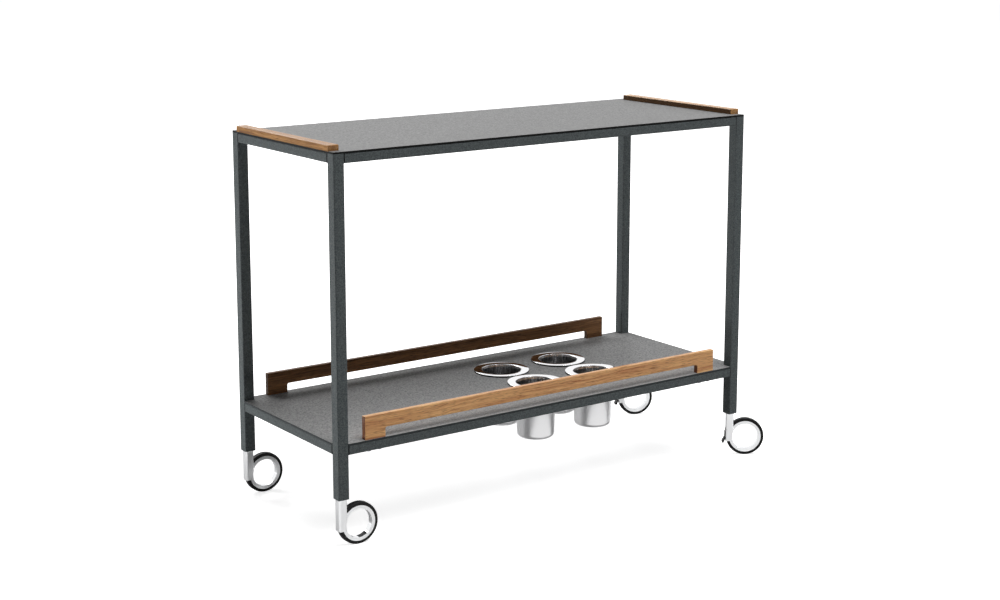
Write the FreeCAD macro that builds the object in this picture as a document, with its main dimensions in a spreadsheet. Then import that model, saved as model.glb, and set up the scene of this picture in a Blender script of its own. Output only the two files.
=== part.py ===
import FreeCAD, Part
import os
import re
import Sketcher

V = FreeCAD.Vector
doc = FreeCAD.newDocument("cheese_trolley")
dims = doc.addObject("Spreadsheet::Sheet", "Dims")

# Name, value and meaning of every size.  Lengths in mm, angles in degrees.
# +X runs along the trolley, +Y from its front to its back, +Z is up from the floor.
SIZES = (
    ("frame_length", "1102", "tube frame along X, outside"),
    ("frame_width", "432", "tube frame along Y, outside"),
    ("top_height", "820.5", "floor to the surface of the top panel"),
    ("shelf_height", "219.8", "floor to the surface of the lower shelf"),
    ("caster_height", "102.5", "floor to the foot of the posts"),
    ("tube_side", "25", "side of the square posts, width of the rail tubes"),
    ("rail_depth", "20", "height of the rail tubes"),
    ("tube_wall", "2", "wall of every tube"),
    ("tube_radius", "2.5", "outside corner radius of every tube"),
    ("panel_thick", "4", "top panel and lower shelf"),
    ("panel_radius", "2.5", "corner radius of the top panel"),
    ("loose_fit", "0.3", "clearance between parts that are laid together"),
    ("running_fit", "0.08", "radial clearance of everything that turns"),
    # Wooden strips on the two ends of the top panel.
    ("strip_width", "25", "along X"),
    ("strip_height", "12.5", "with the part let into the panel"),
    ("strip_setback", "20", "from the front and back edges"),
    ("strip_round", "2", "rounding of the top edges"),
    ("seat_depth", "0.5", "seat routed into the top panel"),
    # Wooden rails along the front and back of the lower shelf.
    ("wood_start", "65", "left end of the frame to the rail"),
    ("wood_length", "958", "along X"),
    ("wood_height", "50", "shelf to the top of the rail"),
    ("wood_thick", "12", "along Y"),
    ("wood_inset", "2", "from the shelf's edge"),
    ("foot_length", "50", "each of the rail's two feet"),
    ("finger_gap", "20", "height of the gap under the bar"),
    ("inner_round", "4", "corners of the gap"),
    ("wood_round", "1.5", "edges of the rail"),
    # Screws that hold the wood, driven up through the rail tubes.
    ("screw_radius", "2", "shank"),
    ("screw_head", "4", "radius of the head"),
    ("head_height", "2.4", "height of the head"),
    ("screw_bite", "9", "length of thread in the wood"),
    ("screw_inset", "12", "screw to the end of the foot"),
    ("strip_screw_inset", "45", "screw to the end of the strip"),
    # Drop-in steel cups.
    ("cup_left", "615", "left end of the frame to the first cups"),
    ("cup_pitch", "167", "between cups along X"),
    ("cup_front", "154.5", "front of the frame to the front cups"),
    ("cup_row", "135.2", "between cups along Y"),
    ("cup_depth", "125", "shelf surface to the bottom of a cup"),
    ("cup_top_radius", "47.4", "outside, at the neck"),
    ("cup_foot_radius", "42.6", "outside, at the bottom"),
    ("cup_wall", "1.2", "sheet thickness of the body"),
    ("cup_foot_round", "10", "bottom edge, outside"),
    ("cup_lip_round", "1", "mouth, inside"),
    ("flange_radius", "65", "outside of the flange"),
    ("flange_thick", "1.5", "sheet thickness of the flange"),
    ("seal_thick", "2", "ring between flange and shelf"),
    ("seal_inset", "0.5", "seal edge inside the flange edge"),
    ("seal_width", "14", "ring, radially"),
    ("hole_gap", "2.5", "shelf hole around the neck"),
    # Hubless casters.
    ("wheel_radius", "45", "tyre, outside"),
    ("trail", "37", "swivel axis to wheel axis"),
    ("tyre_width", "14", "across the tyre"),
    ("tyre_round", "2.5", "shoulder of the tyre"),
    ("tread_cut", "0.6", "depth of the groove round the tread"),
    ("tread_half", "0.7", "half the width of that groove"),
    ("tyre_base", "5", "tyre thickness over the wheel's ring"),
    ("flange_out", "37.8", "outside radius of the caster's fixed ring"),
    ("drum_out", "34", "radius of the drum the wheel turns on"),
    ("ring_open", "30.5", "radius of the open middle"),
    ("cheek_thick", "1.9", "each side of the fixed ring"),
    ("bar_half", "10", "half the width of the upright bar"),
    ("bar_rear", "9", "back of the bar behind the swivel axis"),
    ("nose_wall", "2", "bar in front of the tyre"),
    ("bar_drop", "12", "bottom of the bar below the wheel axis"),
    ("bar_round", "4", "upright edges of the bar"),
    ("toe_round", "3", "bottom edges of the bar"),
    ("collar_radius", "11.5", "top of the bar"),
    ("collar_height", "6", "taper under the collar"),
    ("slot_gap", "0.75", "tyre to the sides of its slot"),
    ("slot_reach", "1.2", "tread to the bottom of its slot"),
    ("swivel_gap", "0.4", "bar to the foot of the post"),
    ("stem_radius", "5", "swivel stem"),
    ("stem_rise", "38", "stem above the foot of the post"),
    ("stem_root", "12", "stem inside the bar"),
    ("stem_bevel", "1", "top edge of the stem"),
    ("socket_length", "44", "plug inside the foot of the post"),
    ("swing_fl", "-2", "wheel of the front left caster, from +X"),
    ("swing_fr", "-35", "front right"),
    ("swing_bl", "-1", "back left"),
    ("swing_br", "-22", "back right"),
    # Brake pedals on the two right casters.
    ("pin_rise", "17", "pedal pin above the wheel axis"),
    ("pin_radius", "1.2", "pedal pin"),
    ("pin_clear", "2.75", "pin's centre to the tread"),
    ("hub_wall", "0.85", "pedal around its pin"),
    ("window_half", "6", "half the width of the window in the bar"),
    ("window_rise", "4", "window above the pin"),
    ("shoe_gap", "0.4", "tread to the brake shoe"),
    ("shoe_thick", "3", "pedal in the window, front to back"),
    ("paddle_half", "8.5", "half the width of the paddle"),
    ("paddle_drop", "15", "wheel axis to the tip of the paddle"),
    ("paddle_out", "4.6", "tip of the paddle in front of the shoe"),
    ("paddle_thick", "1.6", "paddle"),
)

# Sizes that follow from the ones above.
DERIVED = (
    ("reach_right", "(trail + wheel_radius) * cos(swing_br * 1deg) - tyre_width / 2 * sin(swing_br * 1deg)"
                    " - tube_side / 2"),
    ("reach_front", "-(trail + wheel_radius) * sin(swing_fr * 1deg) + tyre_width / 2 * cos(swing_fr * 1deg)"
                    " - tube_side / 2"),
    ("left", "-(frame_length + reach_right) / 2"),
    ("right", "left + frame_length"),
    ("front", "-(frame_width - reach_front) / 2"),
    ("back", "front + frame_width"),
    ("top_rail_base", "top_height - panel_thick - rail_depth"),
    ("low_rail_base", "shelf_height - panel_thick - rail_depth"),
    ("strip_length", "frame_width - 2 * strip_setback"),
    ("neck_inner", "cup_top_radius - cup_wall"),
    ("shelf_hole", "cup_top_radius + hole_gap"),
    ("seal_outer", "flange_radius - seal_inset"),
    ("rim_out", "wheel_radius - tyre_base"),
    ("rim_in", "drum_out + running_fit"),
    ("lip_in", "flange_out + loose_fit"),
    ("side_in", "tyre_width / 2 - cheek_thick"),
    ("rim_half", "side_in - loose_fit"),
    ("slot_half", "tyre_width / 2 + slot_gap"),
    ("slot_out", "wheel_radius + slot_reach"),
    ("bar_front", "wheel_radius - trail + nose_wall"),
    ("bar_base", "wheel_radius - bar_drop"),
    ("bar_top", "caster_height - swivel_gap"),
    ("split_top", "wheel_radius + slot_out - 4"),
    ("pin_up", "wheel_radius + pin_rise"),
    ("pin_ahead", "sqrt(wheel_radius * wheel_radius - pin_rise * pin_rise) - trail + pin_clear"),
    ("pin_bore", "pin_radius + running_fit"),
    ("shoe_in", "wheel_radius - trail + shoe_gap"),
    ("shoe_out", "shoe_in + shoe_thick"),
)
NAMES = {row[0] for row in SIZES + DERIVED}


def formula(text):
    """Point the sheet's names in a formula at the sheet."""
    return re.sub(r"[a-z]+(_[a-z]+)*", lambda m: ("Dims." if m.group() in NAMES else "") + m.group(), text)


def bind(obj, **sizes):
    for prop, text in sizes.items():
        obj.setExpression(prop, formula(text))


def fill_sheet():
    for row, entry in enumerate(SIZES + DERIVED, 1):
        dims.set("A%d" % row, entry[0])
        dims.set("B%d" % row, entry[1] if row <= len(SIZES) else "=" + entry[1])
        dims.setAlias("B%d" % row, entry[0])
        if row <= len(SIZES):
            dims.set("C%d" % row, entry[2])
    doc.recompute()


def piece(node, x, y, z, turn="0"):
    """One sub-part, at x, y, z and turned about its own upright axis."""
    body = doc.addObject("PartDesign::Body", node)
    body.Label = node
    for axis, text in zip("xyz", (x, y, z)):
        body.setExpression("Placement.Base." + axis, formula(text))
    body.setExpression("Placement.Rotation.Angle", formula("(%s) * 1deg" % turn))
    return body


def box(body, kind, size, corner):
    """Add or take away a block; corner is its lowest corner."""
    block = body.newObject("PartDesign::%sBox" % kind, "block")
    bind(block, Length=size[0], Width=size[1], Height=size[2])
    for axis, text in zip("xyz", corner):
        block.setExpression("Placement.Base." + axis, formula(text))
    return block


def rod(body, kind, radius, length, start, axis="Z"):
    """Add or take away a cylinder that runs along Z or Y from start."""
    round_bar = body.newObject("PartDesign::%sCylinder" % kind, "rod")
    if axis == "Y":
        round_bar.Placement = FreeCAD.Placement(V(), FreeCAD.Rotation(V(1, 0, 0), -90))
    bind(round_bar, Radius=radius, Height=length)
    for letter, text in zip("xyz", start):
        round_bar.setExpression("Placement.Base." + letter, formula(text))
    return round_bar


def outline(body, plane, corners, shift=None):
    """Closed polygon on an origin plane of the body, every corner at its own pair of formulas."""
    sketch = body.newObject("Sketcher::SketchObject", "outline")
    sketch.AttachmentSupport = [(o, "") for o in body.Origin.OriginFeatures if o.Role == plane + "_Plane"]
    sketch.MapMode = "FlatFace"
    if shift:
        for axis, text in zip("xyz", shift):
            sketch.setExpression("AttachmentOffset.Base." + axis, formula(text))
    count = len(corners)
    ring = Part.makeCircle(40).discretize(count + 1)
    for i in range(count):
        sketch.addGeometry(Part.LineSegment(ring[i], ring[i + 1]), False)
    for i in range(count):
        sketch.addConstraint(Sketcher.Constraint("Coincident", i, 2, (i + 1) % count, 1))
    for i, corner in enumerate(corners):
        for way, text in zip(("DistanceX", "DistanceY"), corner):
            number = sketch.addConstraint(Sketcher.Constraint(way, i, 1, 1.0))
            sketch.setExpression("Constraints[%d]" % number, formula(text))
    return sketch


def pad(body, sketch, length):
    """Pad, half to each side of the sketch."""
    block = body.newObject("PartDesign::Pad", "pad")
    block.Profile = sketch
    block.Midplane = True
    bind(block, Length=length)
    return block


def spin(body, kind, sketch):
    """Full turn about the sketch's upright axis: a Revolution or a Groove."""
    turned = body.newObject("PartDesign::" + kind, "turned")
    turned.Profile = sketch
    turned.ReferenceAxis = (sketch, ["V_Axis"])
    turned.Angle = 360
    return turned


def soften(body, kind, size, pick):
    """Fillet or chamfer the edges that pick takes; pick gets an edge and the solid's bounding box."""
    doc.recompute()
    base = body.Tip
    hold = base.Shape.BoundBox
    edges = ["Edge%d" % i for i, e in enumerate(base.Shape.Edges, 1) if pick(e, hold)]
    edge = body.newObject("PartDesign::" + kind, "edge")
    edge.Base = (base, edges)
    if kind == "Fillet":
        bind(edge, Radius=size)
    else:
        bind(edge, Size=size)
    return edge


def runs(edge, axis):
    """True for a straight edge along the axis."""
    if len(edge.Vertexes) < 2 or edge.Curve.TypeId != "Part::GeomLine":
        return False
    step = edge.Vertexes[1].Point - edge.Vertexes[0].Point
    return abs(abs(step.dot(axis)) - step.Length) < 1e-6


def level(edge, height):
    """True for an edge that lies at this height."""
    return all(abs(v.Z - height) < 1e-4 for v in edge.Vertexes)


X = V(1, 0, 0)
Y = V(0, 1, 0)
Z = V(0, 0, 1)
fill_sheet()

CORNERS = {"fl": ("left", "front", 1, 1), "fr": ("right", "front", -1, 1),
           "bl": ("left", "back", 1, -1), "br": ("right", "back", -1, -1)}


def tube(node, place, size, along):
    """Hollow square or flat tube; its size is along X, Y and Z."""
    body = piece(node, *place)
    box(body, "Additive", size, ("0", "0", "0"))
    soften(body, "Fillet", "tube_radius", lambda e, hold: runs(e, along))
    hollow = ["(%s) - 2 * tube_wall" % s for s in size]
    start = ["tube_wall", "tube_wall", "tube_wall"]
    for i, part in enumerate(along):
        if part:
            hollow[i] = size[i]
            start[i] = "0"
    box(body, "Subtractive", hollow, start)
    return body


# Posts, full height up to the underside of the top panel.
for tag, (x, y, sx, sy) in CORNERS.items():
    tube("post_" + tag, (x if sx > 0 else x + " - tube_side", y if sy > 0 else y + " - tube_side", "caster_height"),
         ("tube_side", "tube_side", "top_height - panel_thick - caster_height"), Z)

# Rail tubes between the posts, with clearance holes for the screws that hold the wood.
screw_columns = ("screw_inset", "foot_length - screw_inset",
                 "wood_length - foot_length + screw_inset", "wood_length - screw_inset")
LONG = ("frame_length - 2 * tube_side", "tube_side", "rail_depth")
DEEP = ("tube_side", "frame_width - 2 * tube_side", "rail_depth")
wood_line = "wood_inset + wood_thick / 2"
strip_rows = ("strip_setback + strip_screw_inset", "strip_setback + strip_length - strip_screw_inset")
for tier, base in (("top", "top_rail_base"), ("lower", "low_rail_base")):
    for side, place, size, along in (
            ("front", ("left + tube_side", "front"), LONG, X),
            ("back", ("left + tube_side", "back - tube_side"), LONG, X),
            ("left", ("left", "front + tube_side"), DEEP, Y),
            ("right", ("right - tube_side", "front + tube_side"), DEEP, Y)):
        rail = tube("%s_rail_%s" % (tier, side), place + (base,), size, along)
        if tier == "lower" and along == X:
            line = wood_line if side == "front" else "tube_side - (%s)" % wood_line
            holes = [("wood_start - tube_side + " + column, line) for column in screw_columns]
        elif tier == "top" and along == Y:
            holes = [("tube_side / 2", row + " - tube_side") for row in strip_rows]
        else:
            holes = []
        for x, y in holes:
            rod(rail, "Subtractive", "screw_radius + loose_fit", "rail_depth + 2", (x, y, "-1"))

# Top panel, flush with the frame, with a shallow seat for each wooden strip.
top = piece("top_panel", "left", "front", "top_height - panel_thick")
box(top, "Additive", ("frame_length", "frame_width", "panel_thick"), ("0", "0", "0"))
soften(top, "Fillet", "panel_radius", lambda e, hold: runs(e, Z))
for x in ("-1", "frame_length - strip_width - loose_fit"):
    box(top, "Subtractive", ("strip_width + loose_fit + 1", "strip_length + 2 * loose_fit", "seat_depth + 1"),
        (x, "strip_setback - loose_fit", "panel_thick - seat_depth"))
for x in ("tube_side / 2", "frame_length - tube_side / 2"):
    for y in strip_rows:
        rod(top, "Subtractive", "screw_radius + loose_fit", "panel_thick + 2", (x, y, "-1"))

# Wooden strips across the two ends of the top.
for side, x in (("left", "left"), ("right", "right - strip_width")):
    strip = piece("top_strip_" + side, x, "front + strip_setback", "top_height - seat_depth")
    box(strip, "Additive", ("strip_width", "strip_length", "strip_height"), ("0", "0", "0"))
    soften(strip, "Fillet", "strip_round",
           lambda e, hold: level(e, hold.ZMax) or runs(e, Z))
    middle = "tube_side / 2" if side == "left" else "strip_width - tube_side / 2"
    for row in strip_rows:
        rod(strip, "Subtractive", "screw_radius", "screw_bite + 1", (middle, row + " - strip_setback", "-1"))

# Lower shelf on its rails: notched round the posts, four round holes for the cups.
shelf = piece("lower_shelf", "left", "front", "shelf_height - panel_thick")
box(shelf, "Additive", ("frame_length", "frame_width", "panel_thick"), ("0", "0", "0"))
for x in ("-1", "frame_length - tube_side - loose_fit"):
    for y in ("-1", "frame_width - tube_side - loose_fit"):
        box(shelf, "Subtractive", ("tube_side + loose_fit + 1", "tube_side + loose_fit + 1", "panel_thick + 2"),
            (x, y, "-1"))
CUPS = {"front_left": ("cup_left", "cup_front"), "front_right": ("cup_left + cup_pitch", "cup_front"),
        "back_left": ("cup_left", "cup_front + cup_row"),
        "back_right": ("cup_left + cup_pitch", "cup_front + cup_row")}
for x, y in CUPS.values():
    rod(shelf, "Subtractive", "shelf_hole", "panel_thick + 2", (x, y, "-1"))
for column in screw_columns:
    for y in (wood_line, "frame_width - (%s)" % wood_line):
        rod(shelf, "Subtractive", "screw_radius + loose_fit", "panel_thick + 2", ("wood_start + " + column, y, "-1"))

# Wooden rails along the shelf: a bar on two feet with a finger gap between them.
RAIL = (("0", "0"), ("foot_length", "0"), ("foot_length", "finger_gap"),
        ("wood_length - foot_length", "finger_gap"), ("wood_length - foot_length", "0"),
        ("wood_length", "0"), ("wood_length", "wood_height"), ("0", "wood_height"))
for side, y in (("front", "front + " + wood_line), ("back", "back - (%s)" % wood_line)):
    wood = piece("shelf_rail_" + side, "left + wood_start", y, "shelf_height")
    pad(wood, outline(wood, "XZ", RAIL), "wood_thick")
    soften(wood, "Fillet", "inner_round",
           lambda e, hold: runs(e, Y) and not level(e, hold.ZMin) and not level(e, hold.ZMax))
    soften(wood, "Fillet", "wood_round", lambda e, hold: level(e, hold.ZMax) or runs(e, Z))
    for column in screw_columns:
        rod(wood, "Subtractive", "screw_radius", "screw_bite + 1", (column, "0", "-1"))

# Wood screws, up through both walls of a rail tube and the panel on it.
SETS = (("shelf_rail_screws", "low_rail_base", "panel_thick",
         [("wood_start + " + column, y) for column in screw_columns
          for y in (wood_line, "frame_width - (%s)" % wood_line)]),
        ("top_strip_screws", "top_rail_base", "panel_thick - seat_depth",
         [(x, y) for x in ("tube_side / 2", "frame_length - tube_side / 2") for y in strip_rows]))
for node, base, cover, spots in SETS:
    made = []
    for x, y in spots:
        shank = doc.addObject("Part::Cylinder", "shank")
        bind(shank, Radius="screw_radius", Height="head_height + rail_depth + %s + screw_bite" % cover)
        head = doc.addObject("Part::Cylinder", "head")
        bind(head, Radius="screw_head", Height="head_height")
        for part in (shank, head):
            for axis, text in zip("xyz", ("left + " + x, "front + " + y, base + " - head_height")):
                part.setExpression("Placement.Base." + axis, formula(text))
        screw = doc.addObject("Part::Fuse", "screw")
        screw.Base = shank
        screw.Tool = head
        made.append(screw)
    group = doc.addObject("Part::Compound", node)
    group.Label = node
    group.Links = made

# Cups: a deep-drawn steel cup with a wide flange, and the ring it sits on.
CUP = (("0", "-cup_depth"), ("cup_foot_radius", "-cup_depth"),
       ("cup_top_radius", "seal_thick"), ("flange_radius", "seal_thick"),
       ("flange_radius", "seal_thick + flange_thick"), ("neck_inner", "seal_thick + flange_thick"),
       ("cup_foot_radius - cup_wall", "cup_wall - cup_depth"), ("0", "cup_wall - cup_depth"))
SEAL = (("seal_outer - seal_width", "0"), ("seal_outer", "0"),
        ("seal_outer", "seal_thick"), ("seal_outer - seal_width", "seal_thick"))


def ring_at(edge, height, inside, outside):
    """True for a round edge at this height with a radius between two limits."""
    return level(edge, height) and hasattr(edge.Curve, "Radius") and inside < edge.Curve.Radius < outside


for tag, (x, y) in CUPS.items():
    cup = piece("cup_" + tag, "left + " + x, "front + " + y, "shelf_height")
    spin(cup, "Revolution", outline(cup, "XZ", CUP))
    neck = dims.cup_top_radius
    soften(cup, "Fillet", "cup_foot_round", lambda e, hold: ring_at(e, hold.ZMin, 1, neck))
    soften(cup, "Fillet", "cup_foot_round - cup_wall",
           lambda e, hold: ring_at(e, hold.ZMin + dims.cup_wall, 1, neck))
    soften(cup, "Fillet", "cup_lip_round", lambda e, hold: ring_at(e, hold.ZMax, 1, neck))
    soften(cup, "Fillet", "flange_thick * 0.4", lambda e, hold: ring_at(e, hold.ZMax, dims.flange_radius - 0.1, 999))
    seal = piece("cup_seal_" + tag, "left + " + x, "front + " + y, "shelf_height")
    spin(seal, "Revolution", outline(seal, "XZ", SEAL))

# Sections of the caster's turned parts: radius from the wheel axis, then distance across the wheel.
SLOT = (("drum_out", "-side_in"), ("flange_out", "-side_in"), ("flange_out", "-slot_half"),
        ("slot_out", "-slot_half"), ("slot_out", "slot_half"), ("flange_out", "slot_half"),
        ("flange_out", "side_in"), ("drum_out", "side_in"))
RIM = (("rim_in", "-rim_half"), ("rim_out", "-rim_half"), ("rim_out", "rim_half"), ("rim_in", "rim_half"))
TYRE = (("lip_in", "-tyre_width / 2"), ("wheel_radius", "-tyre_width / 2"),
        ("wheel_radius", "-tread_half"), ("wheel_radius - tread_cut", "-tread_half"),
        ("wheel_radius - tread_cut", "tread_half"), ("wheel_radius", "tread_half"),
        ("wheel_radius", "tyre_width / 2"), ("lip_in", "tyre_width / 2"), ("lip_in", "rim_half"),
        ("rim_out", "rim_half"), ("rim_out", "-rim_half"), ("lip_in", "-rim_half"))
AXLE = ("trail", "0", "wheel_radius")
# Side view of the pedal: the shoe in the window, and the paddle in front of the bar.
SHOE = (("-pin_ahead - pin_bore - hub_wall", "pin_up"), ("-pin_ahead", "pin_up - pin_bore - hub_wall"),
        ("-shoe_in", "wheel_radius + 8"), ("-shoe_in", "wheel_radius - 6"),
        ("-shoe_out", "wheel_radius - 6"), ("-shoe_out", "wheel_radius + 11"))
PADDLE = (("paddle_thick - shoe_out - loose_fit", "wheel_radius - 3"), ("-shoe_out - loose_fit", "wheel_radius - 3"),
          ("-shoe_out - paddle_out", "wheel_radius - paddle_drop + 1"),
          ("paddle_thick - shoe_out - paddle_out", "wheel_radius - paddle_drop"))


def casting(body, braked):
    """The caster's bar and fixed ring in one, before the cap is divided off."""
    box(body, "Additive", ("bar_front + bar_rear", "2 * bar_half", "bar_top - bar_base"),
        ("-bar_front", "-bar_half", "bar_base"))
    soften(body, "Fillet", "bar_round", lambda e, hold: runs(e, Z))
    soften(body, "Fillet", "toe_round", lambda e, hold: level(e, hold.ZMin))
    collar = body.newObject("PartDesign::AdditiveCone", "collar")
    bind(collar, Radius1="bar_half - 0.5", Radius2="collar_radius", Height="collar_height")
    collar.setExpression("Placement.Base.z", formula("bar_top - collar_height"))
    rod(body, "Additive", "flange_out", "tyre_width", ("trail", "-tyre_width / 2", "wheel_radius"), "Y")
    rod(body, "Subtractive", "ring_open", "4 * bar_half", ("trail", "-2 * bar_half", "wheel_radius"), "Y")
    spin(body, "Groove", outline(body, "XY", SLOT, AXLE))
    if braked:
        box(body, "Subtractive", ("bar_front", "2 * window_half", "pin_up + window_rise"),
            ("-bar_front - 1", "-window_half", "0"))
        rod(body, "Subtractive", "pin_radius", "4 * bar_half", ("-pin_ahead", "-2 * bar_half", "pin_up"), "Y")


for tag, (x, y, sx, sy) in CORNERS.items():
    x = "%s %s tube_side / 2" % (x, "+" if sx > 0 else "-")
    y = "%s %s tube_side / 2" % (y, "+" if sy > 0 else "-")
    spot = (x, y, "0", "swing_" + tag)
    braked = tag in ("fr", "br")

    socket = piece("caster_socket_" + tag, x, y, "caster_height")
    plug = "tube_side - 2 * tube_wall"
    box(socket, "Additive", (plug, plug, "socket_length"),
        ("tube_wall - tube_side / 2", "tube_wall - tube_side / 2", "0"))
    rod(socket, "Subtractive", "stem_radius + running_fit", "stem_rise + 3", ("0", "0", "-1"))

    stem = piece("caster_stem_" + tag, *spot)
    rod(stem, "Additive", "stem_radius", "stem_root + swivel_gap + stem_rise", ("0", "0", "bar_top - stem_root"))
    soften(stem, "Chamfer", "stem_bevel", lambda e, hold: level(e, hold.ZMax))

    fork = piece("caster_fork_" + tag, *spot)
    casting(fork, braked)
    rod(fork, "Subtractive", "stem_radius", "stem_root + 1", ("0", "0", "bar_top - stem_root"))
    box(fork, "Subtractive", ("trail + 2 * wheel_radius", "bar_half", "split_top"),
        ("-2 * bar_front", "side_in", "0"))

    cap = piece("caster_cap_" + tag, *spot)
    casting(cap, braked)
    box(cap, "Subtractive", ("trail + 3 * wheel_radius", "bar_half * 2 + side_in", "bar_top + 1"),
        ("-2 * bar_front", "-2 * bar_half", "0"))
    box(cap, "Subtractive", ("4 * bar_front", "4 * bar_half", "bar_top"),
        ("-2 * bar_front", "-2 * bar_half", "split_top"))

    rim = piece("wheel_ring_" + tag, *spot)
    spin(rim, "Revolution", outline(rim, "XY", RIM, AXLE))

    tyre = piece("tyre_" + tag, *spot)
    spin(tyre, "Revolution", outline(tyre, "XY", TYRE, AXLE))
    reach = dims.wheel_radius
    soften(tyre, "Fillet", "tyre_round",
           lambda e, hold: hasattr(e.Curve, "Radius") and abs(e.Curve.Radius - reach) < 1e-4
           and abs(abs(e.Curve.Center.y) - dims.tyre_width / 2) < 1e-4)

    if braked:
        pedal = piece("brake_pedal_" + tag, *spot)
        rod(pedal, "Additive", "pin_bore + hub_wall", "2 * (window_half - loose_fit)",
            ("-pin_ahead", "loose_fit - window_half", "pin_up"), "Y")
        pad(pedal, outline(pedal, "XZ", SHOE), "2 * (window_half - loose_fit)")
        pad(pedal, outline(pedal, "XZ", PADDLE), "2 * paddle_half")
        rod(pedal, "Subtractive", "pin_bore", "4 * bar_half", ("-pin_ahead", "-2 * bar_half", "pin_up"), "Y")
        pin = piece("pedal_pin_" + tag, *spot)
        rod(pin, "Additive", "pin_radius", "2 * bar_half - 1", ("-pin_ahead", "0.5 - bar_half", "pin_up"), "Y")

doc.recompute()

# Every sub-part is checked, then written to its own file.
os.makedirs("parts", exist_ok=True)
parts = [o for o in doc.Objects if o.TypeId == "PartDesign::Body" or o.TypeId == "Part::Compound"]
for obj in doc.Objects:
    if "Invalid" in obj.State or "Error" in obj.State:
        raise ValueError("%s (%s) can't be built: %s" % (obj.Name, obj.Label, obj.State))
for obj in parts:
    solids = obj.Shape.Solids
    if obj.Shape.isNull() or not obj.Shape.isValid() or not solids:
        raise ValueError(obj.Label + " has no valid shape")
    if obj.TypeId == "PartDesign::Body" and len(solids) != 1:
        raise ValueError("%s has %d solids" % (obj.Label, len(solids)))
    obj.Shape.exportStep("parts/%s.step" % obj.Label)
print(len(parts), "sub-parts")
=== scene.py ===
import bmesh
import bpy
import math
from mathutils import Matrix, Vector


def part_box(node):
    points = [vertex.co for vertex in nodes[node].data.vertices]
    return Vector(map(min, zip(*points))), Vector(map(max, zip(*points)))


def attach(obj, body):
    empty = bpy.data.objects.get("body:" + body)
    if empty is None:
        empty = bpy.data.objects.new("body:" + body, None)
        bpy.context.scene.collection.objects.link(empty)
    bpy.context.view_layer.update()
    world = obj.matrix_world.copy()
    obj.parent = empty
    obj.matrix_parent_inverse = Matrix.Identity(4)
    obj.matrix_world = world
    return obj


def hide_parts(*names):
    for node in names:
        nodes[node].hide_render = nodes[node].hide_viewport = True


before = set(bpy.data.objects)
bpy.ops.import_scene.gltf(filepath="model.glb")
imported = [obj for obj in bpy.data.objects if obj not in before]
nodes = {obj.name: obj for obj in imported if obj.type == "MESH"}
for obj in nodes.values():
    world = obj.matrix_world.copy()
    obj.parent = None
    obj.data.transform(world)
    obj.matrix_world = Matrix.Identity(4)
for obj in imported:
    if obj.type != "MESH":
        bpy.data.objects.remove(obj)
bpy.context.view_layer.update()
scene = bpy.context.scene
scene.view_settings.view_transform = "Standard"


def srgb(*levels):
    """Colour from display levels of 0 to 255."""
    return tuple(((v / 255 + 0.055) / 1.055) ** 2.4 if v > 10 else v / 3294.6 for v in levels) + (1.0,)


# ---------------------------------------------------------------- shader helpers

FLOAT, COLOR, VECTOR = "NodeSocketFloat", "NodeSocketColor", "NodeSocketVector"


def new_pattern(name, *inputs):
    """Empty shader group with a Vector, the named inputs and the three outputs that every finish has."""
    tree = bpy.data.node_groups.new(name, "ShaderNodeTree")
    for label, kind, default in (("Vector", VECTOR, (0, 0, 0)), *inputs):
        tree.interface.new_socket(label, in_out="INPUT", socket_type=kind).default_value = default
    for label, kind in (("Color", COLOR), ("Height", FLOAT), ("Roughness", FLOAT)):
        tree.interface.new_socket(label, in_out="OUTPUT", socket_type=kind)
    return tree, tree.nodes.new("NodeGroupInput").outputs, tree.nodes.new("NodeGroupOutput").inputs


def put_out(tree, out, color, height, roughness):
    """Link the three outputs of a pattern."""
    for label, value in (("Color", color), ("Height", height), ("Roughness", roughness)):
        tree.links.new(value, out[label])
    return tree


def feed(tree, socket, value):
    """Link a socket or set a plain value."""
    if isinstance(value, bpy.types.NodeSocket):
        tree.links.new(value, socket)
    else:
        socket.default_value = value


def noise(tree, vector, scale, detail=3.0, rough=0.5):
    node = tree.nodes.new("ShaderNodeTexNoise")
    for label, value in (("Vector", vector), ("Scale", scale), ("Detail", detail), ("Roughness", rough)):
        feed(tree, node.inputs[label], value)
    return node.outputs["Fac"]


def spread(tree, value, low, high, start=0.0, end=1.0):
    """Value between low and high, laid over start to end."""
    node = tree.nodes.new("ShaderNodeMapRange")
    labels = ("Value", "From Min", "From Max", "To Min", "To Max")
    for label, part in zip(labels, (value, low, high, start, end)):
        feed(tree, node.inputs[label], part)
    return node.outputs["Result"]


def calc(tree, operation, *parts):
    node = tree.nodes.new("ShaderNodeMath")
    node.operation = operation
    for socket, part in zip(node.inputs, parts):
        feed(tree, socket, part)
    return node.outputs["Value"]


def mix(tree, factor, first, second):
    node = tree.nodes.new("ShaderNodeMix")
    node.data_type = "RGBA"
    sockets = [s for s in node.inputs if s.type == "RGBA"]
    feed(tree, node.inputs[0], factor)
    feed(tree, sockets[0], first)
    feed(tree, sockets[1], second)
    return [s for s in node.outputs if s.type == "RGBA"][0]


def mapped(tree, vector, scale, turn=(0, 0, 0)):
    node = tree.nodes.new("ShaderNodeMapping")
    tree.links.new(vector, node.inputs["Vector"])
    feed(tree, node.inputs["Scale"], scale)
    node.inputs["Rotation"].default_value = turn
    return node.outputs["Vector"]


def split(tree, vector):
    """X, Y and Z of a vector."""
    node = tree.nodes.new("ShaderNodeSeparateXYZ")
    tree.links.new(vector, node.inputs["Vector"])
    return node.outputs


def joined(tree, **parts):
    """Vector from the parts named X, Y and Z."""
    node = tree.nodes.new("ShaderNodeCombineXYZ")
    for label, value in parts.items():
        feed(tree, node.inputs[label], value)
    return node.outputs["Vector"]


# ---------------------------------------------------------------- patterns

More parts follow.
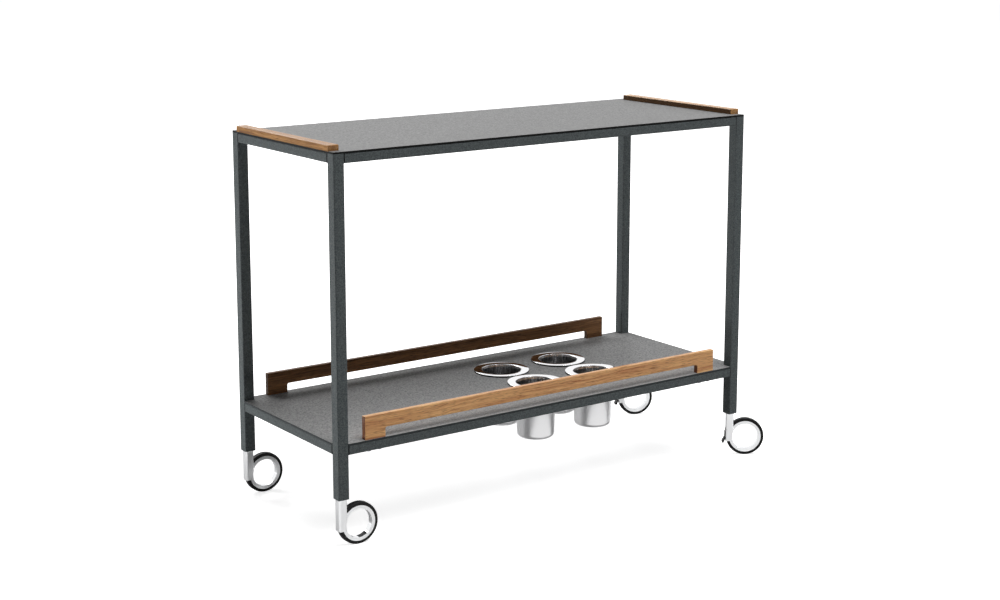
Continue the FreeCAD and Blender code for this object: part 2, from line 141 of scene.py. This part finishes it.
def make_speckle():
    """Fine grains of two shades over a slow drift, as in powder coat and pressed laminate."""
    tree, given, out = new_pattern(
        "speckle",
        ("Base", COLOR, srgb(128, 128, 128)), ("Fleck", COLOR, srgb(150, 150, 150)),
        ("Grain Scale", FLOAT, 900.0), ("Drift Scale", FLOAT, 6.0), ("Drift", FLOAT, 0.06))
    grains = noise(tree, given["Vector"], given["Grain Scale"], 2.0, 0.7)
    drift = noise(tree, given["Vector"], given["Drift Scale"], 3.0, 0.5)
    flecks = mix(tree, spread(tree, grains, 0.36, 0.66), given["Base"], given["Fleck"])
    shade = tree.nodes.new("ShaderNodeHueSaturation")
    tree.links.new(flecks, shade.inputs["Color"])
    swing = calc(tree, "MULTIPLY", calc(tree, "SUBTRACT", drift, 0.5), given["Drift"])
    tree.links.new(calc(tree, "ADD", calc(tree, "MULTIPLY", swing, 2.0), 1.0), shade.inputs["Value"])
    return put_out(tree, out, shade.outputs["Color"], grains, spread(tree, grains, 0.3, 0.7, 0.42, 0.6))


def make_grain():
    """Oiled oak along X: fine streaks and pores, broad bands of tone, darker where End is high."""
    tree, given, out = new_pattern(
        "oak grain",
        ("Light", COLOR, srgb(255, 204, 139)), ("Dark", COLOR, srgb(176, 104, 62)),
        ("Pore", COLOR, srgb(106, 57, 31)), ("Streak Scale", FLOAT, 480.0), ("Pores", FLOAT, 0.62),
        ("End", FLOAT, 0.0), ("End Shade", FLOAT, 0.2))
    sway = noise(tree, mapped(tree, given["Vector"], (4.0, 12.0, 12.0)), 1.0, 2.0, 0.5)
    shifted = tree.nodes.new("ShaderNodeVectorMath")
    tree.links.new(given["Vector"], shifted.inputs[0])
    tree.links.new(joined(tree, Y=calc(tree, "MULTIPLY", sway, 0.012), Z=calc(tree, "MULTIPLY", sway, 0.02)),
                   shifted.inputs[1])
    board = shifted.outputs["Vector"]
    streaks = noise(tree, mapped(tree, board, (0.016, 1.0, 1.0)), given["Streak Scale"], 2.0, 0.6)
    bands = noise(tree, mapped(tree, board, (0.03, 1.0, 1.0)), 110.0, 3.0, 0.55)
    pores = noise(tree, mapped(tree, board, (0.05, 1.0, 1.0)), 900.0, 1.0, 0.5)
    both = calc(tree, "ADD", calc(tree, "MULTIPLY", spread(tree, streaks, 0.32, 0.68), 0.5),
                calc(tree, "MULTIPLY", spread(tree, bands, 0.3, 0.7), 0.5))
    pore_mask = calc(tree, "MULTIPLY", spread(tree, pores, 0.56, 0.68), given["Pores"])
    face = mix(tree, pore_mask, mix(tree, both, given["Light"], given["Dark"]), given["Pore"])
    dark_end = mix(tree, calc(tree, "MULTIPLY", given["End"], given["End Shade"]), face, given["Pore"])
    return put_out(tree, out, dark_end, calc(tree, "SUBTRACT", streaks, pore_mask),
                   spread(tree, both, 0.0, 1.0, 0.16, 0.3))


def make_polish():
    """Faint lines and smudges on turned or polished metal."""
    tree, given, out = new_pattern(
        "polish",
        ("Metal", COLOR, srgb(225, 226, 228)), ("Low", FLOAT, 0.05), ("High", FLOAT, 0.12),
        ("Line Scale", FLOAT, 900.0))
    lines = noise(tree, mapped(tree, given["Vector"], (0.02, 0.02, 1.0)), given["Line Scale"], 2.0, 0.5)
    smudge = noise(tree, given["Vector"], 24.0, 3.0, 0.6)
    wear = calc(tree, "ADD", calc(tree, "MULTIPLY", lines, 0.4), calc(tree, "MULTIPLY", smudge, 0.6))
    shade = mix(tree, spread(tree, smudge, 0.35, 0.8, 0.0, 0.06), given["Metal"], srgb(160, 162, 165))
    return put_out(tree, out, shade, lines, spread(tree, wear, 0.3, 0.7, given["Low"], given["High"]))


def make_drawn_steel():
    """Deep-drawn steel on the cup's own map: U runs round the cup, V from the middle of its base, outside,
    to the middle of its floor, inside.  Past the V in Rim the draw marks are strong, and with them the dark
    Inside colour is laid over the metal as painted shade and painted reflections of the cup's hollow."""
    tree, given, out = new_pattern(
        "drawn steel",
        ("Metal", COLOR, srgb(248, 248, 249)), ("Inside", COLOR, srgb(86, 85, 85)),
        ("Rim", FLOAT, 0.5), ("Marks", FLOAT, 260.0))
    place = split(tree, given["Vector"])
    turn = calc(tree, "MULTIPLY", place["X"], 2 * math.pi)
    ring = joined(tree, X=calc(tree, "COSINE", turn), Y=calc(tree, "SINE", turn),
                  Z=calc(tree, "MULTIPLY", place["Y"], 0.12))
    marks = noise(tree, ring, calc(tree, "MULTIPLY", given["Marks"], 0.1), 4.0, 0.7)
    # Inside the cup, streaks mix the dark Inside colour over the metal: draw marks, with painted shade and
    # painted reflections of the hollow.
    inside = spread(tree, calc(tree, "SUBTRACT", place["Y"], given["Rim"]), 0.0, 0.005)
    shade = mix(tree, calc(tree, "MULTIPLY", inside, spread(tree, marks, 0.35, 0.7)),
                given["Metal"], given["Inside"])
    height = calc(tree, "MULTIPLY", marks, spread(tree, inside, 0.0, 1.0, 0.04, 1.0))
    return put_out(tree, out, shade, height,
                   spread(tree, calc(tree, "MULTIPLY", marks, inside), 0.0, 0.7, 0.03, 0.4))


SPECKLE, GRAIN, POLISH, DRAWN = make_speckle(), make_grain(), make_polish(), make_drawn_steel()


# ---------------------------------------------------------------- materials

def finish_material(name, group, values, bump=0.0, bump_distance=0.0002, turn=(0, 0, 0), on="Object",
                    **shader):
    """A material from one of the patterns, on object coordinates or on the piece's own UV map."""
    material = bpy.data.materials.new(name)
    material.use_nodes = True
    tree = material.node_tree
    surface = tree.nodes["Principled BSDF"]
    pattern = tree.nodes.new("ShaderNodeGroup")
    pattern.node_tree = group
    place = tree.nodes.new("ShaderNodeTexCoord")
    tree.links.new(mapped(tree, place.outputs[on], (1, 1, 1), turn), pattern.inputs["Vector"])
    for label, value in values.items():
        pattern.inputs[label].default_value = value
    tree.links.new(pattern.outputs["Color"], surface.inputs["Base Color"])
    tree.links.new(pattern.outputs["Roughness"], surface.inputs["Roughness"])
    if bump:
        dent = tree.nodes.new("ShaderNodeBump")
        dent.inputs["Strength"].default_value = bump
        dent.inputs["Distance"].default_value = bump_distance
        tree.links.new(pattern.outputs["Height"], dent.inputs["Height"])
        tree.links.new(dent.outputs["Normal"], surface.inputs["Normal"])
    for label, value in shader.items():
        surface.inputs[label.replace("_", " ")].default_value = value
    return material


def pattern_of(material):
    return next(node for node in material.node_tree.nodes if node.type == "GROUP")


def facing(tree, axis):
    """How far the surface faces along an axis, -1 to 1."""
    return split(tree, tree.nodes.new("ShaderNodeNewGeometry").outputs["Normal"])[axis]


def overlaid(material, mask, color):
    """Lay a colour over the material's own by a mask."""
    tree = material.node_tree
    base = tree.nodes["Principled BSDF"].inputs["Base Color"]
    tree.links.new(mix(tree, mask, base.links[0].from_socket, color), base)
    return material


def edged(material, edge_color):
    """Dark edge on the upright faces of a panel."""
    tree = material.node_tree
    upright = spread(tree, calc(tree, "ABSOLUTE", facing(tree, "Z")), 0.3, 0.6, 1.0, 0.0)
    return overlaid(material, upright, edge_color)


def painted_shade_inside(material, shade_color):
    """Painted shade on the side of a board that faces -X: a dark colour laid over the grain there."""
    tree = material.node_tree
    return overlaid(material, spread(tree, facing(tree, "X"), -0.9, -0.6, 0.75, 0.0), shade_color)


def end_grained(material, axis):
    """Darker end grain on the faces across the board; axis is the board's length."""
    tree = material.node_tree
    end = spread(tree, calc(tree, "ABSOLUTE", facing(tree, axis)), 0.6, 0.9)
    tree.links.new(end, pattern_of(material).inputs["End"])
    return material


ACROSS = (0, 0, math.pi / 2)

paint = finish_material(
    "grey powder coat", SPECKLE,
    {"Base": srgb(72, 78, 79), "Fleck": srgb(102, 108, 109), "Grain Scale": 400.0, "Drift": 0.03},
    bump=0.3, Specular_IOR_Level=0.07)

top_face = edged(finish_material(
    "light grey laminate", SPECKLE,
    {"Base": srgb(110, 110, 110), "Fleck": srgb(152, 152, 152), "Grain Scale": 260.0,
     "Drift Scale": 130.0, "Drift": 0.2},
    bump=0.1, Specular_IOR_Level=0.07), srgb(8, 8, 8))
# The shelf's laminate edge is painted lighter than the top's black edge: painted light where the front lamp
# falls on it.
shelf_face = edged(finish_material(
    "grey laminate", SPECKLE,
    {"Base": srgb(111, 111, 111), "Fleck": srgb(166, 166, 166), "Grain Scale": 270.0, "Drift": 0.03},
    bump=0.1, Specular_IOR_Level=0.07), srgb(58, 62, 63))

oak_front = end_grained(finish_material(
    "oak along X", GRAIN, {"End Shade": 0.92}, bump=0.4, Specular_IOR_Level=0.2), "X")
# The back rail's oak is a darker copy of the oak: painted shade for its front face, which lies in the top
# panel's shadow.
oak_back = end_grained(finish_material(
    "oak with painted shade", GRAIN,
    {"Light": srgb(174, 129, 89), "Dark": srgb(88, 58, 38), "Pore": srgb(50, 34, 24), "End Shade": 0.92},
    bump=0.4, Specular_IOR_Level=0.08), "X")
oak_left = end_grained(finish_material(
    "oak along Y", GRAIN, {"Light": srgb(220, 166, 104), "Dark": srgb(119, 76, 41)},
    bump=0.4, turn=ACROSS, Specular_IOR_Level=0.08), "Y")
# The right strip's inner face is darkened by painted shade, where the top panel keeps the light off it.
oak_right = painted_shade_inside(end_grained(finish_material(
    "oak along Y, painted shade inside", GRAIN, {"Light": srgb(236, 184, 120), "Dark": srgb(134, 90, 52)},
    bump=0.4, turn=ACROSS, Specular_IOR_Level=0.12), "Y"), srgb(57, 32, 18))

steel = finish_material("drawn steel", DRAWN, {}, bump=0.5, bump_distance=0.0004, on="UV", Metallic=1.0)
chrome = finish_material(
    "bright chrome", POLISH, {"Metal": srgb(246, 247, 248), "Low": 0.03, "High": 0.08}, Metallic=1.0)
plain_steel = finish_material(
    "ground steel", POLISH, {"Metal": srgb(190, 191, 194), "Low": 0.22, "High": 0.35}, Metallic=1.0)

rubber = finish_material(
    "black rubber", SPECKLE, {"Base": srgb(13, 13, 13), "Fleck": srgb(22, 22, 22), "Grain Scale": 500.0},
    bump=0.2, Specular_IOR_Level=0.2)
# Near-black for the bands round the rails' ends: painted shadow standing in for the shade where a rail meets
# a post.
joint_shadow_black = finish_material(
    "painted joint shadow", SPECKLE, {"Base": srgb(12, 12, 12), "Fleck": srgb(20, 20, 20)}, Specular_IOR_Level=0.05)
# Near-black, darker than rubber is: the seal's own black with painted shadow under the cups' flanges.
seal_black_and_shadow = finish_material(
    "black seal rubber with painted shadow", SPECKLE, {"Base": srgb(6, 6, 6), "Fleck": srgb(10, 10, 10)}, Specular_IOR_Level=0.05)
nylon = finish_material(
    "dark nylon", SPECKLE, {"Base": srgb(16, 16, 17), "Fleck": srgb(26, 26, 27), "Grain Scale": 600.0},
    bump=0.1, Specular_IOR_Level=0.3)

# The first start that fits a node's name gives its finish.
FINISHES = {
    "post_": paint, "top_rail_": paint, "lower_rail_": paint,
    "top_panel": top_face, "lower_shelf": shelf_face,
    "shelf_rail_screws": plain_steel, "top_strip_screws": plain_steel,
    "shelf_rail_front": oak_front, "shelf_rail_back": oak_back,
    "top_strip_left": oak_left, "top_strip_right": oak_right,
    "cup_seal_": seal_black_and_shadow, "cup_": steel,
    "caster_socket_": nylon, "caster_stem_": plain_steel, "caster_fork_": chrome, "caster_cap_": chrome,
    "wheel_ring_": nylon, "tyre_": rubber, "brake_pedal_": nylon, "pedal_pin_": plain_steel}

for name, part in nodes.items():
    finish = next(value for start, value in FINISHES.items() if name.startswith(start))
    part.data.materials.clear()
    part.data.materials.append(finish)


# ---------------------------------------------------------------- modelling helpers

MM = 0.001
ROUND_STEPS = 96


def new_piece(name, bm, material, body, slot, *stands_for, smooth=True):
    """Finish a mesh as a piece that rides on a body and may stand for nodes of the frame."""
    bmesh.ops.remove_doubles(bm, verts=bm.verts, dist=1e-7)
    bmesh.ops.recalc_face_normals(bm, faces=bm.faces)
    for face in bm.faces:
        face.smooth = smooth
    mesh = bpy.data.meshes.new(name)
    bm.to_mesh(mesh)
    bm.free()
    mesh.materials.append(material)
    piece = bpy.data.objects.new(name, mesh)
    scene.collection.objects.link(piece)
    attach(piece, body)
    if stands_for:
        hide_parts(*stands_for)


def arc(middle, radius, start, end, steps):
    """Points of an arc in the r, z plane, angles in degrees."""
    turns = [math.radians(start + (end - start) * i / steps) for i in range(steps + 1)]
    return [(middle[0] + radius * math.cos(a), middle[1] + radius * math.sin(a)) for a in turns]


def revolve(bm, section, middle, closed):
    """Turn a section, radius and height in mm, a full circle about the upright line through the middle."""
    points = [bm.verts.new((middle[0] + r * MM, middle[1], middle[2] + z * MM)) for r, z in section]
    ends = points[1:] + points[:1] if closed else points[1:]
    line = [bm.edges.new(pair) for pair in zip(points, ends)]
    bmesh.ops.spin(bm, geom=points + line, cent=middle, axis=(0, 0, 1), angle=2 * math.pi,
                   steps=ROUND_STEPS, use_merge=True)


def middle_of(low, high, z):
    return ((low[0] + high[0]) / 2, (low[1] + high[1]) / 2, z)


# ---------------------------------------------------------------- drop-in cups and their seals, in mm

CUP_FOOT, CUP_NECK = 42.6, 47.4       # outer radius at the base and under the flange
CUP_WALL = 1.2
BASE_CURVE, BASE_INSET = 10, 9.6      # corner of the base: radius, and its centre inside the foot
FLANGE_LIP, FLANGE_RISE, FLANGE_ROUND = 0.9, 1.1, 0.3   # flange's edge: drawn in below, rounded above
MOUTH_ROUND, MOUTH_SHIFT = 1, 0.9     # rounding where the flange turns down into the cup
BEAD_IN = 0.3                         # pressed bead inside the neck
BEAD = ((-1.6, 0), (-2.2, BEAD_IN), (-3.4, BEAD_IN), (-4.2, 0))
SEAL_WIDTH, SEAL_PRESSED, SEAL_ROUND = 12, 0.4, 0.3


def cup_section(depth, flange, top, seal):
    """Sheet section of a cup from the middle of its base, outside, round the flange to the middle of its
    floor, inside; and the place in it from where the sheet lies inside.  Height 0 is the shelf."""
    slope = math.degrees(math.atan2(CUP_NECK - CUP_FOOT, depth + seal))
    low = -depth
    base_middle = (CUP_FOOT - BASE_INSET, low + BASE_CURVE)

    def wall_at(z):
        return CUP_FOOT + (CUP_NECK - CUP_FOOT) * (z + depth) / (depth + seal) - CUP_WALL

    outer = [(0, low), (CUP_FOOT / 2, low)] + arc(base_middle, BASE_CURVE, -90, -slope, 10)
    outer += [(CUP_NECK, seal)]
    rim = [(flange - FLANGE_LIP, seal), (flange, seal + FLANGE_RISE)]
    rim += arc((flange - FLANGE_ROUND, top - FLANGE_ROUND), FLANGE_ROUND, 0, 90, 6)
    mouth = arc((CUP_NECK - CUP_WALL + MOUTH_SHIFT, top - MOUTH_ROUND), MOUTH_ROUND, 90, 180, 6)
    bead = [(wall_at(z) - inward, z) for z, inward in BEAD]
    inner = arc(base_middle, BASE_CURVE - CUP_WALL, -slope, -90, 10)
    inner += [(CUP_FOOT / 2, low + CUP_WALL), (0, low + CUP_WALL)]
    return outer + rim + mouth + bead + inner, len(outer + rim) + 1


def map_cup(bm, cup_map, section, reach, middle):
    """Lay the cup's map: U round the cup, V along the sheet."""
    share = {(round(r, 3), round(z, 3)): reach[i] / reach[-1] for i, (r, z) in enumerate(section)}
    for face in bm.faces:
        center = face.calc_center_median()
        home = math.atan2(center.y - middle[1], center.x - middle[0])
        for loop in face.loops:
            x, y, z = (loop.vert.co - Vector(middle)) / MM
            r = math.hypot(x, y)
            turn = home + (math.remainder(math.atan2(y, x) - home, 2 * math.pi) if r > 1e-3 else 0)
            loop[cup_map].uv = (turn / (2 * math.pi), share.get((round(r, 3), round(z, 3)), 0.5))


def make_cup(tag):
    """Deep-drawn cup with its own map; gives the V from where the sheet lies inside."""
    node = "cup_" + tag
    low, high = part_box(node)
    seal_low, seal_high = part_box("cup_seal_" + tag)
    middle = middle_of(low, high, seal_low[2])
    depth, flange = (seal_low[2] - low[2]) / MM, (high[0] - low[0]) / 2 / MM
    top, seal = (high[2] - seal_low[2]) / MM, (seal_high[2] - seal_low[2]) / MM
    section, inside = cup_section(depth, flange, top, seal)
    bm = bmesh.new()
    cup_map = bm.loops.layers.uv.new("map")
    revolve(bm, section, middle, closed=False)
    bmesh.ops.remove_doubles(bm, verts=bm.verts, dist=1e-7)
    reach = [0.0]
    for (r0, z0), (r1, z1) in zip(section, section[1:]):
        reach.append(reach[-1] + math.hypot(r1 - r0, z1 - z0))
    map_cup(bm, cup_map, section, reach, middle)
    new_piece(node + "_drawn", bm, steel, node, "cup_steel", node)
    return reach[inside] / reach[-1]


def make_seal(tag):
    """Rubber ring under a flange, pressed out to the flange's edge; its near-black finish is rubber with
    painted shadow under the flange.
    """
    node = "cup_seal_" + tag
    low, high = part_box(node)
    edge, top = (high[0] - low[0]) / 2 / MM + SEAL_PRESSED, (high[2] - low[2]) / MM
    section = [(edge - SEAL_WIDTH, 0), (edge - SEAL_ROUND, 0), (edge, SEAL_ROUND), (edge, top - SEAL_ROUND),
               (edge - SEAL_ROUND, top), (edge - SEAL_WIDTH, top)]
    bm = bmesh.new()
    revolve(bm, section, middle_of(low, high, low[2]), closed=True)
    new_piece(node + "_pressed", bm, seal_black_and_shadow, "cup_" + tag, "seal_rubber", node, smooth=False)


for tag in ("front_left", "front_right", "back_left", "back_right"):
    make_seal(tag)
    # The four cups have one section, so they share one Rim.
    pattern_of(steel).inputs["Rim"].default_value = make_cup(tag)


# ---------------------------------------------------------------- toes of the brake pedals, in mm

TOE = ((-10.6, 43.0), (-12.4, 42.0), (-17.8, 31.8), (-17.5, 29.4), (-15.2, 28.6), (-13.2, 30.2),
       (-10.2, 39.0))
TOE_HALF, TOE_ROUND = 7.7, 0.7
SWING_FR, SWING_BR = -35, -22         # how far each right caster is swung at rest, in degrees


def make_toe(tag, swing):
    """Thick rounded toe over the tip of a brake pedal; TOE is its side view from the caster's own axis."""
    low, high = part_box("caster_stem_" + tag)
    caster = Matrix.Translation(middle_of(low, high, 0)) @ Matrix.Rotation(math.radians(swing), 4, "Z")
    bm = bmesh.new()
    near, far = ([bm.verts.new(caster @ (Vector((x, y, z)) * MM)) for x, z in TOE]
                 for y in (-TOE_HALF, TOE_HALF))
    bm.faces.new(near)
    bm.faces.new(far)
    for i in range(len(TOE)):
        bm.faces.new((near[i - 1], near[i], far[i], far[i - 1]))
    bmesh.ops.bevel(bm, geom=bm.edges[:], offset=TOE_ROUND * MM, segments=3, profile=0.5, affect="EDGES",
                    material=-1)
    new_piece("brake_toe_" + tag, bm, nylon, "pedal_" + tag, "pedal_plastic")


make_toe("fr", SWING_FR)
make_toe("br", SWING_BR)


# ---------------------------------------------------------------- painted shadow lines at the frame's joints

SEAM_WIDE = (1.2 * MM, 2.2 * MM)      # along X and along Y
SEAM_PROUD, SEAM_CORNER = 0.08 * MM, 2.5 * MM


def make_seam(rail, axis, end):
    """Painted shadow line where a rail meets a post: a thin near-black band round the rail's near or far end,
    standing in for the shade in the joint.
    """
    low, high = (list(corner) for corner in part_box(rail))
    for i in range(3):
        if i != axis:
            low[i], high[i] = low[i] - SEAM_PROUD, high[i] + SEAM_PROUD
    if end == "far":
        low[axis] = high[axis] - SEAM_WIDE[axis]
    else:
        high[axis] = low[axis] + SEAM_WIDE[axis]
    size = [b - a for a, b in zip(low, high)]
    center = [(a + b) / 2 for a, b in zip(low, high)]
    bm = bmesh.new()
    bmesh.ops.create_cube(bm, size=1.0, matrix=Matrix.Translation(center) @ Matrix.Diagonal((*size, 1)))
    along = [e for e in bm.edges if abs((e.verts[1].co - e.verts[0].co)[axis]) > SEAM_WIDE[axis] / 2]
    bmesh.ops.bevel(bm, geom=along, offset=SEAM_CORNER, segments=3, profile=0.5, affect="EDGES", material=-1)
    new_piece("joint_%s_%s" % (rail, end), bm, joint_shadow_black, "frame", "frame_paint", smooth=False)


for tier in ("top", "lower"):
    for side, axis in (("front", 0), ("back", 0), ("left", 1), ("right", 1)):
        for end in ("near", "far"):
            make_seam("%s_rail_%s" % (tier, side), axis, end)


# ---------------------------------------------------------------- floor, lamps, camera

FLOOR_RADIUS = 60.0
GLOW_FROM, GLOW_FULL = 0.9, 3.0       # distances from the trolley between which the floor turns white
AWAY = (0.58, 0.81, 0.0)              # level direction from the camera to the trolley


def seen_or_mirrored(tree, path, seen, mirrored):
    """One value where the camera looks and another where metal and glass mirror it."""
    shiny = calc(tree, "MAXIMUM", path.outputs["Is Glossy Ray"], path.outputs["Is Transmission Ray"])
    return calc(tree, "ADD", calc(tree, "MULTIPLY", path.outputs["Is Camera Ray"], seen),
                calc(tree, "MULTIPLY", shiny, mirrored))


def make_floor():
    """Pale floor that keeps the shadow and glows to white with distance."""
    bm = bmesh.new()
    bmesh.ops.create_circle(bm, cap_ends=True, segments=ROUND_STEPS, radius=FLOOR_RADIUS)
    mesh = bpy.data.meshes.new("studio floor")
    bm.to_mesh(mesh)
    bm.free()
    floor = bpy.data.objects.new("studio_floor", mesh)
    scene.collection.objects.link(floor)
    material = bpy.data.materials.new("pale floor")
    material.use_nodes = True
    tree = material.node_tree
    surface = tree.nodes["Principled BSDF"]
    surface.inputs["Roughness"].default_value = 1.0
    surface.inputs["Specular IOR Level"].default_value = 0.0
    glow = tree.nodes.new("ShaderNodeEmission")
    path = tree.nodes.new("ShaderNodeLightPath")
    tree.links.new(mix(tree, path.outputs["Is Diffuse Ray"], (0.95, 0.95, 0.95, 1), (0.5, 0.5, 0.5, 1)),
                   surface.inputs["Base Color"])
    place = tree.nodes.new("ShaderNodeTexCoord")
    reach = tree.nodes.new("ShaderNodeVectorMath")
    reach.operation = "LENGTH"
    tree.links.new(place.outputs["Object"], reach.inputs[0])
    far = spread(tree, reach.outputs["Value"], GLOW_FROM, GLOW_FULL)
    tree.links.new(seen_or_mirrored(tree, path, spread(tree, far, 0.0, 1.0, 0.76, 1.0),
                                    spread(tree, far, 0.0, 1.0, 0.06, 0.5)), glow.inputs["Strength"])
    both = tree.nodes.new("ShaderNodeAddShader")
    tree.links.new(surface.outputs["BSDF"], both.inputs[0])
    tree.links.new(glow.outputs["Emission"], both.inputs[1])
    tree.links.new(both.outputs["Shader"], tree.nodes["Material Output"].inputs["Surface"])
    mesh.materials.append(material)


def make_world():
    """White backdrop; what metal and glass mirror of it is dim on the camera's side."""
    world = bpy.data.worlds.new("studio")
    scene.world = world
    world.use_nodes = True
    tree = world.node_tree
    path = tree.nodes.new("ShaderNodeLightPath")
    place = tree.nodes.new("ShaderNodeTexCoord")
    ahead = tree.nodes.new("ShaderNodeVectorMath")
    ahead.operation = "DOT_PRODUCT"
    ahead.inputs[1].default_value = AWAY
    tree.links.new(place.outputs["Generated"], ahead.inputs[0])
    wall = spread(tree, ahead.outputs["Value"], -0.17, 0.02, 0.1, 1.0)
    tree.links.new(mix(tree, seen_or_mirrored(tree, path, 1.0, wall), (0, 0, 0, 1), (1, 1, 1, 1)),
                   tree.nodes["Background"].inputs["Color"])


def lamp(name, place, target, size, watts):
    light = bpy.data.lights.new(name, "AREA")
    light.shape = "RECTANGLE"
    light.size, light.size_y = size
    light.energy = watts
    holder = bpy.data.objects.new(name, light)
    holder.location = place
    holder.rotation_euler = (Vector(target) - Vector(place)).to_track_quat("-Z", "Y").to_euler()
    scene.collection.objects.link(holder)


def make_camera():
    eye = bpy.data.cameras.new("camera")
    eye.lens = 63.772
    eye.sensor_width = 36.0
    eye.shift_y = -0.075
    eye.clip_end = 100.0
    viewer = bpy.data.objects.new("camera", eye)
    viewer.location = (-2.3282, -3.1953, 1.3003)
    viewer.rotation_euler = (math.radians(79.749), 0, math.radians(-35.603))
    scene.collection.objects.link(viewer)
    scene.camera = viewer


make_floor()
make_world()
lamp("key softbox", (1.6, -2.6, 8.0), (0, 0, 0.5), (6.4, 5.4), 620)
lamp("back softbox", (-0.3, 6.0, 5.0), (0, 0, 0.5), (5.0, 3.0), 285)
lamp("low left panel", (-2.6, 1.3, 0.1), (0, 0.2, 0.42), (1.5, 0.16), 40)
lamp("low front panel", (1.6, -3.6, 0.12), (0, -0.2, 0.42), (2.4, 0.2), 14)
lamp("low right panel", (3.6, 1.2, 0.1), (0, 0.2, 0.42), (2.0, 0.2), 50)
make_camera()
